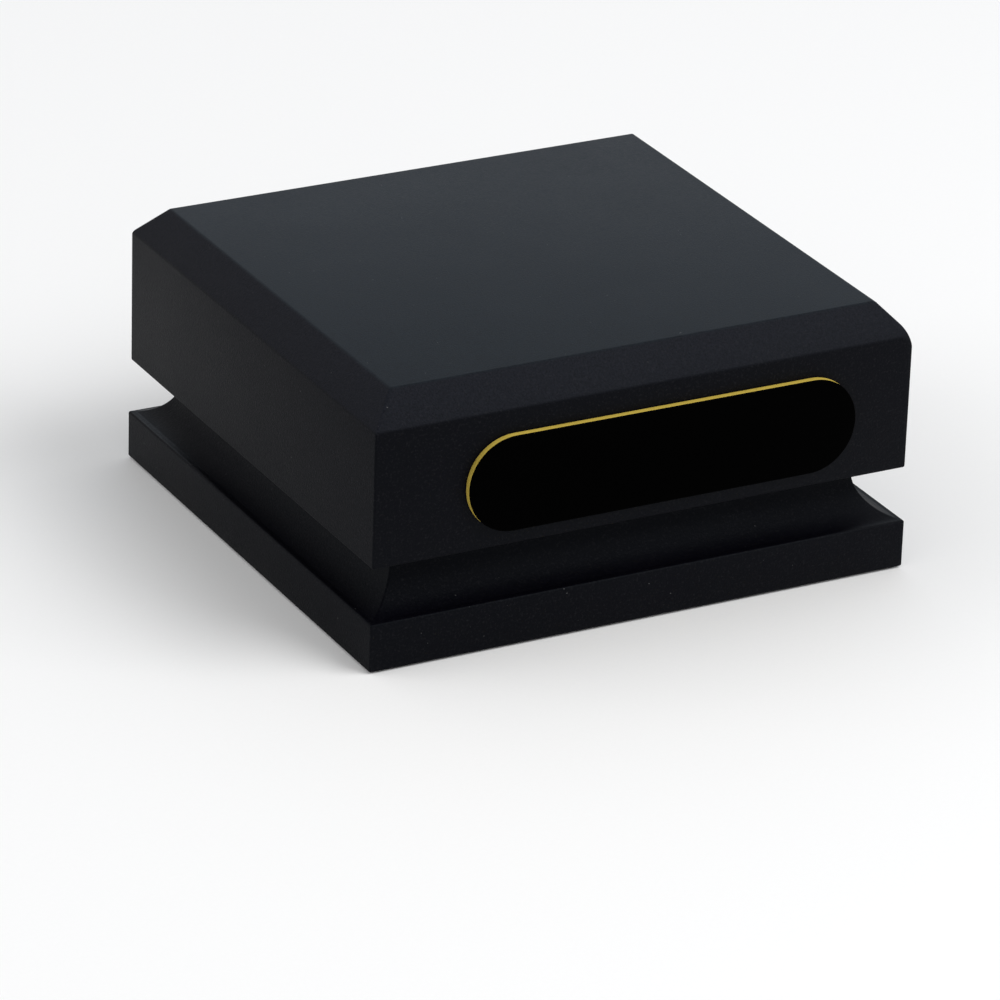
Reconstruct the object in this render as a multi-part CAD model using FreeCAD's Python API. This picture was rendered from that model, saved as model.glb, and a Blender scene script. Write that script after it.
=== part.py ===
import FreeCAD, Part
import math
import os

# A desk stamp that inks itself: a square handle block slides down over the neck of its base and prints
# with a foam die that draws ink from a felt pad above it. Millimetres, +Z up, -Y is the front with the
# name plate, and the origin is the centre of the footprint on the surface that the stamp stands on.

V = FreeCAD.Vector

# Outside shape of the handle block
case_width = 80.0
case_depth = 75.0
side_height = 19.2
chamfer_rise = 4.2
chamfer_inset = 3.9
edge_ease = 0.3
right_shoulder_ease = 1.8  # the right shoulder is sanded rounder than the other three

# Outside shape of the base
flange_height = 7.0
flange_overhang = 0.25
groove_height = 7.8
cove_radius = 6.4
cove_axis_out = 0.9  # the cove cutter runs with its axis this far outside the flange's face
neck_rise = 1.2  # the neck stands this far up inside the handle at rest
foot_proud = 0.25  # the rubber foot stands this far below the wood

# Stroke, and the gaps that parts run or seat with
stroke = 5.0
stop_gap = 0.05
running_gap = 0.05
seat_gap = 0.02
loose_gap = 0.4

# Pocket under the handle block
handle_wall = 4.0
mouth_chamfer = 1.5

# Window through the base, with its plastic liner
window_width = 56.0
window_depth = 50.0
window_corner = 6.0
liner_wall = 1.2
liner_lip = 1.5
liner_lip_thickness = 0.8

# Rubber foot ring let into the underside of the base
foot_width = 3.0
foot_depth_in_wood = 1.4
foot_edge_distance = 1.7
foot_corner = 3.0

# Guide posts, with their springs, clips and bushes, one set at each corner
post_x = 30.0
post_y = 27.5
post_radius = 1.5
post_seat_depth = 3.5
post_end = 0.9
clip_radius = 3.0
clip_thickness = 0.6
clip_slot = 2.0
groove_depth = 0.35
bush_wall = 1.0
bush_flange_radius = 3.5
bush_flange_thickness = 0.8
spring_seat_z = 6.0
spring_wire = 0.6
spring_mean_radius = 2.6
spring_turns = 7
spring_pocket_radius = 3.3
clip_bore_radius = 4.2
clip_bore_headroom = 1.0

# Depth screws, threaded through the neck on the left and right: their tips end the stroke
depth_screw_x = 31.4
depth_screw_radius = 1.5
depth_screw_recess = 0.6
depth_screw_hole_radius = 1.8
stop_rise = 2.0
hex_across_flats = 1.5
hex_depth = 1.5
insert_radius = 2.4
insert_length = 7.5

# Carrier plate under the pocket's ceiling
carrier_thickness = 2.5
carrier_screw_x = 21.0
carrier_screw_y = 18.0
carrier_screw_radius = 1.25
carrier_screw_head = 2.8
carrier_screw_length = 9.0
countersink_depth = 1.5

# Ink cartridge: tray, felt, die and the frame that clamps the die
tray_side_gap = 0.9
tray_wall = 1.4
tray_roof = 2.0
tray_corner = 4.0
die_flange = 2.0
die_relief = 0.5
die_border = 1.2
die_edge = 2.9  # from the felt's edge in to the printing block
printing_face_z = 5.0
frame_bottom_z = 6.8
frame_thickness = 1.2
frame_upstand = 1.0
frame_gap = 0.4
felt_bottom_z = 11.0
stud_x = 20.0
stud_y = 17.0
stud_radius = 2.0
stud_short_of_top = 0.3
plug_x = 9.0
plug_stem_radius = 2.0
plug_head_radius = 3.2
plug_head_thickness = 1.0
bar_lengths = (30.0, 22.0, 26.0)
bar_width = 3.0
bar_pitch = 8.0

# Name plate on the front face
plate_length = 57.8
plate_height = 13.5
plate_thickness = 1.05
plate_bevel = 0.2
plate_offset_x = 2.1
plate_below_middle = 0.45
tape_thickness = 0.15
tape_margin = 0.5

# Levels and half sizes that follow from the values above
flange_half_x = case_width / 2 + flange_overhang
flange_half_y = case_depth / 2 + flange_overhang
neck_inset = cove_radius - cove_axis_out
neck_half_x = flange_half_x - neck_inset
neck_half_y = flange_half_y - neck_inset
flange_top = flange_height
cove_axis_z = flange_top + math.sqrt(cove_radius**2 - cove_axis_out**2)
handle_bottom = flange_top + groove_height
shoulder_z = handle_bottom + side_height
top_z = shoulder_z + chamfer_rise
neck_top = handle_bottom + neck_rise
stop_tip_z = neck_top + stop_rise
carrier_bottom = stop_tip_z + stroke + stop_gap
carrier_top = carrier_bottom + carrier_thickness
bush_bottom = carrier_bottom - bush_flange_thickness
pocket_half_x = case_width / 2 - handle_wall
pocket_half_y = case_depth / 2 - handle_wall
clip_bottom = carrier_top + stop_gap
post_top = clip_bottom + clip_thickness + post_end
tray_half_x = window_width / 2 - liner_wall - tray_side_gap
tray_half_y = window_depth / 2 - liner_wall - tray_side_gap
tray_top = carrier_bottom - running_gap
tray_bottom = frame_bottom_z + frame_thickness
felt_top = tray_top - tray_roof
felt_half_x = tray_half_x - tray_wall - seat_gap
felt_half_y = tray_half_y - tray_wall - seat_gap
block_half_x = felt_half_x - die_edge
block_half_y = felt_half_y - die_edge
felt_corner = tray_corner - tray_wall

CORNERS = {
    "front_left": (-1, -1),
    "front_right": (1, -1),
    "back_left": (-1, 1),
    "back_right": (1, 1),
}
SIDES = {"left": -1, "right": 1}


def slab(half_x, half_y, z0, z1, corner=0.0):
    """An upright block centred on the Z axis, with its four vertical edges rounded."""
    solid = Part.makeBox(2 * half_x, 2 * half_y, z1 - z0, V(-half_x, -half_y, z0))
    if corner > 0:
        upright = [e for e in solid.Edges if abs(e.tangentAt(e.FirstParameter).z) > 0.9]
        solid = solid.makeFillet(corner, upright)
    return solid


def rod(x, y, radius, z0, z1):
    """A vertical cylinder."""
    return Part.makeCylinder(radius, z1 - z0, V(x, y, z0))


def round_frame(half_x, half_y, width, corner, z0, z1):
    """A rectangular ring whose outer half sizes are given."""
    outer = slab(half_x, half_y, z0, z1, corner)
    inner_corner = max(corner - width, 0.2)
    return outer.cut(slab(half_x - width, half_y - width, z0 - 1, z1 + 1, inner_corner))


def outline(corners):
    """A closed list of edges through (u, z, radius) corners, in the XZ plane."""
    count = len(corners)
    stations = []
    for i, (u, z, radius) in enumerate(corners):
        here = V(u, 0, z)
        before = V(corners[i - 1][0], 0, corners[i - 1][1])
        after = V(corners[(i + 1) % count][0], 0, corners[(i + 1) % count][1])
        inward = (before - here).normalize()
        onward = (after - here).normalize()
        half_angle = inward.getAngle(onward) / 2
        if radius <= 0:
            stations.append((here, None, here))
            continue
        run = radius / math.tan(half_angle)
        bisector = (inward + onward).normalize()
        middle = here + bisector * (radius / math.sin(half_angle) - radius)
        stations.append((here + inward * run, middle, here + onward * run))
    edges = []
    for i, (start, middle, end) in enumerate(stations):
        if middle is not None:
            edges.append(Part.Arc(start, middle, end).toShape())
        following = stations[(i + 1) % count][0]
        edges.append(Part.makeLine(end, following))
    return edges


def crossed_prisms(edges_x, edges_y, reach):
    """The solid whose front view is edges_x and whose side view is edges_y, both drawn in XZ."""
    face_x = Part.Face(Part.Wire(edges_x))
    along_y = face_x.extrude(V(0, 2 * reach, 0))
    along_y.translate(V(0, -reach, 0))
    face_y = Part.Face(Part.Wire(edges_y))
    along_x = face_y.extrude(V(0, 2 * reach, 0))
    along_x.translate(V(0, -reach, 0))
    along_x.rotate(V(0, 0, 0), V(0, 0, 1), 90)
    return along_y.common(along_x)


def handle_outline(half, shoulder_right):
    """Front or side view of the handle block, shoulder_right easing the shoulder at +u."""
    return outline([
        (-half, handle_bottom, edge_ease),
        (half, handle_bottom, edge_ease),
        (half, shoulder_z, shoulder_right),
        (half - chamfer_inset, top_z, edge_ease),
        (-half + chamfer_inset, top_z, edge_ease),
        (-half, shoulder_z, edge_ease),
    ])


def handle_block():
    """The painted block that the hand presses: chamfered on top, with a pocket from below."""
    block = crossed_prisms(
        handle_outline(case_width / 2, right_shoulder_ease),
        handle_outline(case_depth / 2, edge_ease),
        case_width,
    )
    block = block.cut(slab(pocket_half_x, pocket_half_y, handle_bottom - 1, carrier_top, mouth_chamfer))
    mouth_z = handle_bottom + mouth_chamfer
    mouth = loft_between(
        (pocket_half_x + mouth_chamfer, pocket_half_y + mouth_chamfer, handle_bottom),
        (pocket_half_x, pocket_half_y, mouth_z),
    )
    block = block.cut(mouth)
    bore_top = post_top + stroke + clip_bore_headroom
    for sx, sy in CORNERS.values():
        block = block.cut(rod(sx * post_x, sy * post_y, clip_bore_radius, carrier_top - 1, bore_top))
        pilot_top = carrier_bottom + carrier_screw_length + 0.5
        pilot = rod(
            sx * carrier_screw_x, sy * carrier_screw_y,
            carrier_screw_radius + seat_gap, carrier_top - 1, pilot_top,
        )
        block = block.cut(pilot)
    return block


def loft_between(low, high):
    """A pyramid frustum between two centred rectangles, each (half_x, half_y, z)."""
    wires = []
    for half_x, half_y, z in (low, high):
        points = [V(sx * half_x, sy * half_y, z) for sx, sy in ((-1, -1), (1, -1), (1, 1), (-1, 1))]
        wires.append(Part.makePolygon(points + points[:1]))
    return Part.makeLoft(wires, True, True)


def base_outline(half, neck_half):
    """Front or side view of the base: flange, cove and neck."""
    eased = foot_proud + edge_ease
    edges = []
    for side in (-1, 1):
        axis_u = half + cove_axis_out
        start_angle = math.atan2(flange_top - cove_axis_z, -cove_axis_out)
        middle_angle = (start_angle - math.pi) / 2
        middle_u = axis_u + cove_radius * math.cos(middle_angle)
        middle_z = cove_axis_z + cove_radius * math.sin(middle_angle)
        corner = edge_ease * (1 - math.sqrt(0.5))
        edges += [
            Part.Arc(
                V(side * (half - edge_ease), 0, foot_proud),
                V(side * (half - corner), 0, foot_proud + corner),
                V(side * half, 0, eased),
            ).toShape(),
            Part.makeLine(V(side * half, 0, eased), V(side * half, 0, flange_top)),
            Part.Arc(
                V(side * half, 0, flange_top),
                V(side * middle_u, 0, middle_z),
                V(side * neck_half, 0, cove_axis_z),
            ).toShape(),
            Part.makeLine(V(side * neck_half, 0, cove_axis_z), V(side * neck_half, 0, neck_top)),
        ]
    edges.append(Part.makeLine(V(-neck_half, 0, neck_top), V(neck_half, 0, neck_top)))
    edges.append(Part.makeLine(V(-half + edge_ease, 0, foot_proud), V(half - edge_ease, 0, foot_proud)))
    return Part.sortEdges(edges)[0]


def base_block():
    """The painted base: a flange, a cove for the fingers and a neck that the handle slides over."""
    block = crossed_prisms(
        base_outline(flange_half_x, neck_half_x),
        base_outline(flange_half_y, neck_half_y),
        case_width,
    )
    block = block.cut(slab(window_width / 2, window_depth / 2, -1, neck_top + 1, window_corner))
    block = block.cut(foot_frame(seat_gap, foot_proud + foot_depth_in_wood))
    for sx, sy in CORNERS.values():
        x = sx * post_x
        y = sy * post_y
        block = block.cut(rod(x, y, spring_pocket_radius, spring_seat_z, neck_top + 1))
        block = block.cut(
            rod(x, y, post_radius + seat_gap, spring_seat_z - post_seat_depth, spring_seat_z + 1)
        )
    for side in SIDES.values():
        x = side * depth_screw_x
        insert_top = foot_proud + insert_length
        block = block.cut(rod(x, 0, insert_radius + seat_gap, -1, insert_top))
        block = block.cut(rod(x, 0, depth_screw_hole_radius, insert_top - 1, neck_top + 1))
    return block


def foot_frame(gap, top):
    """The foot ring's shape, grown by gap on both sides when it cuts its own groove."""
    return round_frame(
        flange_half_x - foot_edge_distance + gap,
        flange_half_y - foot_edge_distance + gap,
        foot_width + 2 * gap,
        foot_corner,
        0 if gap == 0 else -1,
        top,
    )


def foot_ring():
    """The rubber ring that keeps the stamp from slipping."""
    return foot_frame(0, foot_proud + foot_depth_in_wood - seat_gap)


def window_liner():
    """The plastic sleeve that lines the window, with a lip on top of the neck."""
    half_x = window_width / 2
    half_y = window_depth / 2
    sleeve = slab(half_x - seat_gap, half_y - seat_gap, foot_proud, neck_top + 0.1, window_corner)
    lip = slab(
        half_x + liner_lip, half_y + liner_lip,
        neck_top, neck_top + liner_lip_thickness, window_corner + liner_lip,
    )
    hollow = slab(
        half_x - liner_wall, half_y - liner_wall,
        foot_proud - 1, neck_top + 2, window_corner - liner_wall,
    )
    return sleeve.fuse(lip).cut(hollow).removeSplitter()


def guide_post(sx, sy):
    """A steel post, seated in the base, with a groove for its clip."""
    x = sx * post_x
    y = sy * post_y
    post = rod(x, y, post_radius, spring_seat_z - post_seat_depth + seat_gap, post_top)
    groove_top = clip_bottom + clip_thickness
    groove = rod(x, y, post_radius + 1, clip_bottom - seat_gap, groove_top + seat_gap)
    groove = groove.cut(rod(x, y, post_radius - groove_depth, clip_bottom - 1, groove_top + 1))
    post = post.cut(groove)
    rim = [e for e in post.Edges if e.BoundBox.ZMin > post_top - 0.01]
    return post.makeChamfer(edge_ease, rim)


def post_clip(sx, sy):
    """The spring clip that stops the handle at the top of its travel."""
    x = sx * post_x
    y = sy * post_y
    clip = rod(x, y, clip_radius, clip_bottom, clip_bottom + clip_thickness)
    clip = clip.cut(rod(x, y, post_radius - groove_depth + seat_gap, clip_bottom - 1, post_top))
    slot = Part.makeBox(
        clip_slot, clip_radius + 1, clip_thickness + 2, V(x - clip_slot / 2, y, clip_bottom - 1)
    )
    return clip.cut(slot)


def guide_bush(sx, sy):
    """A flanged plastic bush in the carrier that runs on a post."""
    x = sx * post_x
    y = sy * post_y
    bore = post_radius + running_gap
    flange = rod(x, y, bush_flange_radius, bush_bottom, carrier_bottom)
    sleeve = rod(x, y, bore + bush_wall, bush_bottom, carrier_top)
    return flange.fuse(sleeve).cut(rod(x, y, bore, bush_bottom - 1, carrier_top + 1)).removeSplitter()


def return_spring(sx, sy):
    """A compression spring round a post, from its pocket in the base up to the bush."""
    wire_radius = spring_wire / 2
    low = spring_seat_z + seat_gap + wire_radius
    high = bush_bottom - seat_gap - wire_radius
    pitch = (high - low) / spring_turns
    helix = Part.makeHelix(pitch, high - low, spring_mean_radius)
    outer = V(spring_mean_radius + wire_radius, 0, 0)
    inner = V(spring_mean_radius - wire_radius, 0, 0)
    halves = [
        Part.Arc(outer, V(spring_mean_radius, 0, wire_radius), inner).toShape(),
        Part.Arc(inner, V(spring_mean_radius, 0, -wire_radius), outer).toShape(),
    ]
    coil = Part.Wire(helix).makePipeShell([Part.Wire(halves)], True, True)
    coil.translate(V(sx * post_x, sy * post_y, low))
    return coil


def depth_insert(side):
    """A threaded brass insert pressed into the base from below."""
    x = side * depth_screw_x
    top = foot_proud + insert_length - seat_gap
    body = rod(x, 0, insert_radius, foot_proud + depth_screw_recess, top)
    return body.cut(rod(x, 0, depth_screw_radius + running_gap, 0, top + 1))


def depth_screw(side):
    """A headless screw with a hexagon socket in its lower end."""
    x = side * depth_screw_x
    low = foot_proud + depth_screw_recess
    screw = rod(x, 0, depth_screw_radius, low, stop_tip_z)
    rims = [e for e in screw.Edges if isinstance(e.Curve, Part.Circle)]
    screw = screw.makeChamfer(edge_ease, rims)
    corner_radius = hex_across_flats / math.sqrt(3)
    turn = math.pi / 3
    points = [
        V(x + corner_radius * math.cos(i * turn), corner_radius * math.sin(i * turn), low - 1)
        for i in range(6)
    ]
    socket = Part.Face(Part.makePolygon(points + points[:1])).extrude(V(0, 0, hex_depth + 1))
    return screw.cut(socket)


def carrier():
    """The plate that holds the bushes and the cartridge, screwed up under the pocket's ceiling."""
    plate = slab(
        pocket_half_x - loose_gap, pocket_half_y - loose_gap,
        carrier_bottom, carrier_top - seat_gap, mouth_chamfer,
    )
    for sx, sy in CORNERS.values():
        bush_radius = post_radius + running_gap + bush_wall + seat_gap
        plate = plate.cut(rod(sx * post_x, sy * post_y, bush_radius, carrier_bottom - 1, carrier_top + 1))
        plate = plate.cut(carrier_screw(sx, sy, seat_gap))
    for x, y in stud_places():
        plate = plate.cut(rod(x, y, stud_radius + running_gap, carrier_bottom - 1, carrier_top + 1))
    return plate


def carrier_screw(sx, sy, gap=0.0):
    """A countersunk wood screw, or with a gap the hole for it."""
    x = sx * carrier_screw_x
    y = sy * carrier_screw_y
    radius = carrier_screw_radius + gap
    top = carrier_bottom + carrier_screw_length
    head = Part.makeCone(
        carrier_screw_head + gap, radius, countersink_depth, V(x, y, carrier_bottom)
    )
    screw = head.fuse(rod(x, y, radius, carrier_bottom + countersink_depth / 2, top))
    if gap > 0:
        return screw.removeSplitter()
    arm_half = 0.35
    arm_reach = carrier_screw_radius
    for reach_x, reach_y in ((arm_reach, arm_half), (arm_half, arm_reach)):
        cross = Part.makeBox(
            2 * reach_x, 2 * reach_y, 1.0, V(x - reach_x, y - reach_y, carrier_bottom - 0.2)
        )
        screw = screw.cut(cross)
    return screw.removeSplitter()


def carrier_screws():
    return Part.makeCompound([carrier_screw(sx, sy) for sx, sy in CORNERS.values()])


def stud_places():
    """Centres of the four studs that the cartridge pushes into the carrier with."""
    return [(-stud_x, 0), (stud_x, 0), (0, -stud_y), (0, stud_y)]


def ink_tray():
    """The cartridge's tray, open below, with studs and two filling holes in its roof."""
    tray = slab(tray_half_x, tray_half_y, tray_bottom, tray_top, tray_corner)
    tray = tray.cut(
        slab(tray_half_x - tray_wall, tray_half_y - tray_wall, tray_bottom - 1, felt_top, felt_corner)
    )
    stud_top = carrier_top - stud_short_of_top
    for x, y in stud_places():
        stud = rod(x, y, stud_radius, tray_top - tray_roof / 2, stud_top)
        rim = [e for e in stud.Edges if e.BoundBox.ZMin > stud_top - 0.01]
        tray = tray.fuse(stud.makeChamfer(edge_ease, rim))
    for side in SIDES.values():
        tray = tray.cut(refill_plug(side, seat_gap))
    return tray.removeSplitter()


def refill_plug(side, gap=0.0):
    """A rubber plug in the tray's roof, or with a gap the hole for it."""
    x = side * plug_x
    head = rod(x, 0, plug_head_radius + gap, tray_top - plug_head_thickness - gap, tray_top + gap)
    stem = rod(x, 0, plug_stem_radius + gap, felt_top - gap, tray_top)
    return head.fuse(stem).removeSplitter()


def refill_plugs():
    return Part.makeCompound([refill_plug(side) for side in SIDES.values()])


def ink_felt():
    """The felt pad that stores the ink."""
    return slab(felt_half_x, felt_half_y, felt_bottom_z, felt_top - seat_gap, felt_corner)


def flash_die():
    """The foam die: a flange under the felt, and a printing block with a raised border and bars."""
    flange_bottom = felt_bottom_z - die_flange
    relief_top = printing_face_z + die_relief
    die = slab(felt_half_x, felt_half_y, flange_bottom, felt_bottom_z, felt_corner)
    die = die.fuse(slab(block_half_x, block_half_y, relief_top, flange_bottom))
    border = round_frame(
        block_half_x, block_half_y, die_border, 0.0, printing_face_z, relief_top
    )
    die = die.fuse(border)
    for row, length in enumerate(bar_lengths):
        y = (1 - row) * bar_pitch - bar_width / 2
        bar = Part.makeBox(length, bar_width, die_relief, V(-length / 2, y, printing_face_z))
        die = die.fuse(bar)
    return die.removeSplitter()


def die_frame():
    """The frame that clamps the die's flange up against the felt."""
    opening = die_edge - frame_gap
    low = round_frame(
        tray_half_x, tray_half_y, opening + tray_wall + seat_gap,
        tray_corner, frame_bottom_z, tray_bottom - seat_gap,
    )
    upstand = round_frame(
        felt_half_x, felt_half_y, opening, felt_corner,
        tray_bottom - 0.1, tray_bottom + frame_upstand - seat_gap,
    )
    return low.fuse(upstand).removeSplitter()


def obround(length, height, y0, y1):
    """A plate with round ends on the front face, between two depths."""
    radius = height / 2
    reach = length / 2 - radius
    top = radius
    edges = [
        Part.makeLine(V(-reach, 0, top), V(reach, 0, top)),
        Part.Arc(V(reach, 0, top), V(reach + radius, 0, 0), V(reach, 0, -top)).toShape(),
        Part.makeLine(V(reach, 0, -top), V(-reach, 0, -top)),
        Part.Arc(V(-reach, 0, -top), V(-reach - radius, 0, 0), V(-reach, 0, top)).toShape(),
    ]
    solid = Part.Face(Part.Wire(edges)).extrude(V(0, y1 - y0, 0))
    middle_z = (handle_bottom + shoulder_z) / 2 - plate_below_middle
    solid.translate(V(plate_offset_x, y0, middle_z))
    return solid


def name_plate():
    """The brass name plate, bevelled round its front."""
    back = -case_depth / 2 - tape_thickness
    front = back - plate_thickness
    plate = obround(plate_length, plate_height, front, back)
    rim = [e for e in plate.Edges if e.BoundBox.YMax < front + 0.01]
    return plate.makeChamfer(plate_bevel, rim)


def plate_tape():
    """The double-sided tape behind the name plate."""
    face = -case_depth / 2
    return obround(
        plate_length - 2 * tape_margin, plate_height - 2 * tape_margin, face - tape_thickness, face
    )


def parts():
    """Every sub-part, by node name."""
    made = {
        "handle_block": handle_block(),
        "name_plate": name_plate(),
        "plate_tape": plate_tape(),
        "carrier": carrier(),
        "carrier_screws": carrier_screws(),
        "ink_tray": ink_tray(),
        "refill_plugs": refill_plugs(),
        "ink_felt": ink_felt(),
        "flash_die": flash_die(),
        "die_frame": die_frame(),
        "base_block": base_block(),
        "window_liner": window_liner(),
        "foot_ring": foot_ring(),
    }
    for corner, (sx, sy) in CORNERS.items():
        made["guide_post_" + corner] = guide_post(sx, sy)
        made["post_clip_" + corner] = post_clip(sx, sy)
        made["guide_bush_" + corner] = guide_bush(sx, sy)
        made["return_spring_" + corner] = return_spring(sx, sy)
    for name, side in SIDES.items():
        made["depth_insert_" + name] = depth_insert(side)
        made["depth_screw_" + name] = depth_screw(side)
    return made


os.makedirs("parts", exist_ok=True)
for node, shape in parts().items():
    good = shape.isValid() and all(s.isClosed() and s.Volume > 0 for s in shape.Solids)
    print(f"{node:26s} solids {len(shape.Solids)} volume {shape.Volume:9.2f} valid {good}")
    shape.exportStep(os.path.join("parts", node + ".step"))
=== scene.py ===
# %% [markdown]
# # A desk stamp that inks itself
# The stamp is a black painted wooden handle that slides down over the neck of a black painted base. A
# blank lacquered plate sits on its front. Inside are a carrier plate, four posts with springs, and a
# cartridge with the foam die that prints. This notebook dresses each piece of the engineering model
# in finished geometry and paint, one piece at a time, in metres, with +Z up and the front towards -Y.

# %% The fixed frame
import math
import bpy
from mathutils import Matrix, Vector


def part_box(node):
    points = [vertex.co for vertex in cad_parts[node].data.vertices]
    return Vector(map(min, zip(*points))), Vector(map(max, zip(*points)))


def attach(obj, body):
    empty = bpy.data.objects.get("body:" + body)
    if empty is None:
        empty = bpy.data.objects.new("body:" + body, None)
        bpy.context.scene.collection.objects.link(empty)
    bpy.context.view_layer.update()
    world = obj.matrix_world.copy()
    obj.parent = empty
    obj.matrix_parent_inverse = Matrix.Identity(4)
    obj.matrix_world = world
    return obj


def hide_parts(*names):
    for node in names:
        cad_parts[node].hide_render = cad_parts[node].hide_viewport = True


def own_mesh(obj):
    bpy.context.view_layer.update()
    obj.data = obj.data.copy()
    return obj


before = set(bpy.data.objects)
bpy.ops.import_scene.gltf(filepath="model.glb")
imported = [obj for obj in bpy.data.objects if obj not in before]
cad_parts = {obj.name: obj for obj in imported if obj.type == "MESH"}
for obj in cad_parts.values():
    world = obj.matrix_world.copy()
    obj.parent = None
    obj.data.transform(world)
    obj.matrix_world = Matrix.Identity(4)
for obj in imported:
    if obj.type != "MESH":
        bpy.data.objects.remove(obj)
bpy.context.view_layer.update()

print("pieces in the frame:", len(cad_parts))

# %% [markdown]
# ## The camera
# The stamp is seen from the front left and from above, through a long lens, so its upright edges are
# nearly parallel. A camera can be aimed with a Track To constraint, but here it leans a little to one
# side, so its own three directions are given instead and make up its rotation.

# %% The camera
millimetre = 0.001
camera_place = Vector((-364.6, -672.0, 350.2)) * millimetre
camera_right = Vector((0.8857, -0.4633, 0.0298)).normalized()
camera_forward = Vector((0.4326, 0.8005, -0.4148)).normalized()
camera_up = camera_right.cross(camera_forward).normalized()
camera_right = camera_forward.cross(camera_up)

bpy.ops.object.camera_add(location=camera_place)
camera = bpy.context.object
camera.name = "camera"
camera.rotation_euler = Matrix((camera_right, camera_up, -camera_forward)).transposed().to_euler()
camera.data.sensor_width = 36
camera.data.lens = 220.3
camera.data.clip_start = 0.05
camera.data.clip_end = 20
bpy.context.scene.camera = camera
print("the lens is", camera.data.lens, "mm long")

# %% [markdown]
# ## Helpers for modelling by hand
# Every piece starts as a primitive and is shaped in edit mode. In the window a modeller clicks on
# faces and edges. Here a small test on each face's place and direction does the clicking. An operator
# acts on all that is selected, so each helper clears the selection before it makes its own.

# %% Choosing faces and edges
NEAR = 0.02 * millimetre
ALIGNED = 0.99


def activate(piece):
    if bpy.context.object and bpy.context.object.mode != "OBJECT":
        bpy.ops.object.mode_set(mode="OBJECT")
    bpy.ops.object.select_all(action="DESELECT")
    if piece:
        piece.select_set(True)
        bpy.context.view_layer.objects.active = piece


def edit(piece, kind):
    """Goes into edit mode with nothing selected."""
    activate(piece)
    bpy.ops.object.mode_set(mode="EDIT")
    bpy.ops.mesh.select_mode(type=kind)
    bpy.ops.mesh.select_all(action="DESELECT")


def object_mode():
    bpy.ops.object.mode_set(mode="OBJECT")


def pick_faces(piece, wanted):
    """Goes into edit mode with the faces selected whose middle and normal pass the test."""
    edit(piece, "FACE")
    object_mode()
    for face in piece.data.polygons:
        face.select = bool(wanted(face.center, face.normal))
    bpy.ops.object.mode_set(mode="EDIT")


def pick_edges(piece, wanted):
    """The same for edges: the test gets an edge's middle and its direction."""
    edit(piece, "EDGE")
    object_mode()
    corners = piece.data.vertices
    for edge in piece.data.edges:
        start, end = (corners[i].co for i in edge.vertices)
        edge.select = bool(wanted((start + end) / 2, (end - start).normalized()))
    bpy.ops.object.mode_set(mode="EDIT")


def looks_up(middle, normal):
    return normal.z > ALIGNED


def looks_down(middle, normal):
    return normal.z < -ALIGNED


def upright(middle, way):
    return abs(way.z) > ALIGNED


print("faces and edges can be picked")

# %% Starting a piece
def rename(piece, name):
    piece.name = piece.data.name = name
    return piece


def settle():
    """Puts the active piece's place, turn and scale into its mesh."""
    bpy.ops.object.transform_apply(location=True, rotation=True, scale=True)


def new_block(name, low, high):
    """A cube primitive stretched between two corners."""
    activate(None)
    low, high = Vector(low), Vector(high)
    bpy.ops.mesh.primitive_cube_add(size=1, location=(low + high) / 2)
    piece = rename(bpy.context.object, name)
    piece.scale = high - low
    settle()
    return piece


def new_slab(name, half_x, half_y, low, high, corner, segments=8):
    """A block centred on the origin whose upright edges are rounded."""
    piece = new_block(name, (-half_x, -half_y, low), (half_x, half_y, high))
    round_edges(piece, upright, corner, segments)
    return piece


def new_rod(name, x, y, radius, low, high, sides=48):
    activate(None)
    bpy.ops.mesh.primitive_cylinder_add(
        vertices=sides, radius=radius, depth=high - low, location=(x, y, (low + high) / 2)
    )
    piece = rename(bpy.context.object, name)
    settle()
    return piece


def extrude(rise):
    """Extrudes the selected faces straight up, or down by a negative rise."""
    bpy.ops.mesh.extrude_region_move(TRANSFORM_OT_translate={"value": (0, 0, rise)})


def bevel(radius, segments):
    bpy.ops.mesh.bevel(offset=radius, segments=segments, affect="EDGES", clamp_overlap=True)
    object_mode()


def round_edges(piece, wanted, radius, segments=3):
    pick_edges(piece, wanted)
    bevel(radius, segments)


def ease_edges(piece, radius, segments=2):
    """Rounds every sharp edge a little, as sanding or moulding does."""
    edit(piece, "EDGE")
    bpy.ops.mesh.edges_select_sharp(sharpness=math.radians(25))
    bevel(radius, segments)


print("pieces can be started and rounded")

# %% Cutting and joining pieces
corner_signs = {"front_left": (-1, -1), "front_right": (1, -1), "back_left": (-1, 1), "back_right": (1, 1)}


def tidy_mesh(piece):
    """Merges doubled points and turns every face outwards."""
    edit(piece, "VERT")
    bpy.ops.mesh.select_all(action="SELECT")
    bpy.ops.mesh.remove_doubles(threshold=0.002 * millimetre)
    bpy.ops.mesh.normals_make_consistent(inside=False)
    object_mode()


def join(pieces):
    """Joins pieces into the first one."""
    activate(pieces[0])
    for piece in pieces:
        piece.select_set(True)
    if len(pieces) > 1:
        bpy.ops.object.join()
    return pieces[0]


def combine(piece, tools, operation="DIFFERENCE"):
    """Cuts the tools out of a piece, or adds them to it, and removes the tools."""
    tool = join(tools)
    tidy_mesh(tool)
    tidy_mesh(piece)
    activate(piece)
    modifier = piece.modifiers.new("combine", "BOOLEAN")
    modifier.operation = operation
    modifier.solver = "EXACT"
    modifier.object = tool
    bpy.ops.object.modifier_apply(modifier=modifier.name)
    bpy.data.objects.remove(tool)
    return piece


def cut_off(piece, height, way):
    """Cuts a piece off level and fills the cut: way 1 takes what is above the height, -1 what is below."""
    edit(piece, "VERT")
    bpy.ops.mesh.select_all(action="SELECT")
    plane = {"plane_co": (0, 0, height), "plane_no": (0, 0, way)}
    bpy.ops.mesh.bisect(use_fill=True, clear_outer=True, threshold=NEAR / 50, **plane)
    object_mode()


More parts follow.
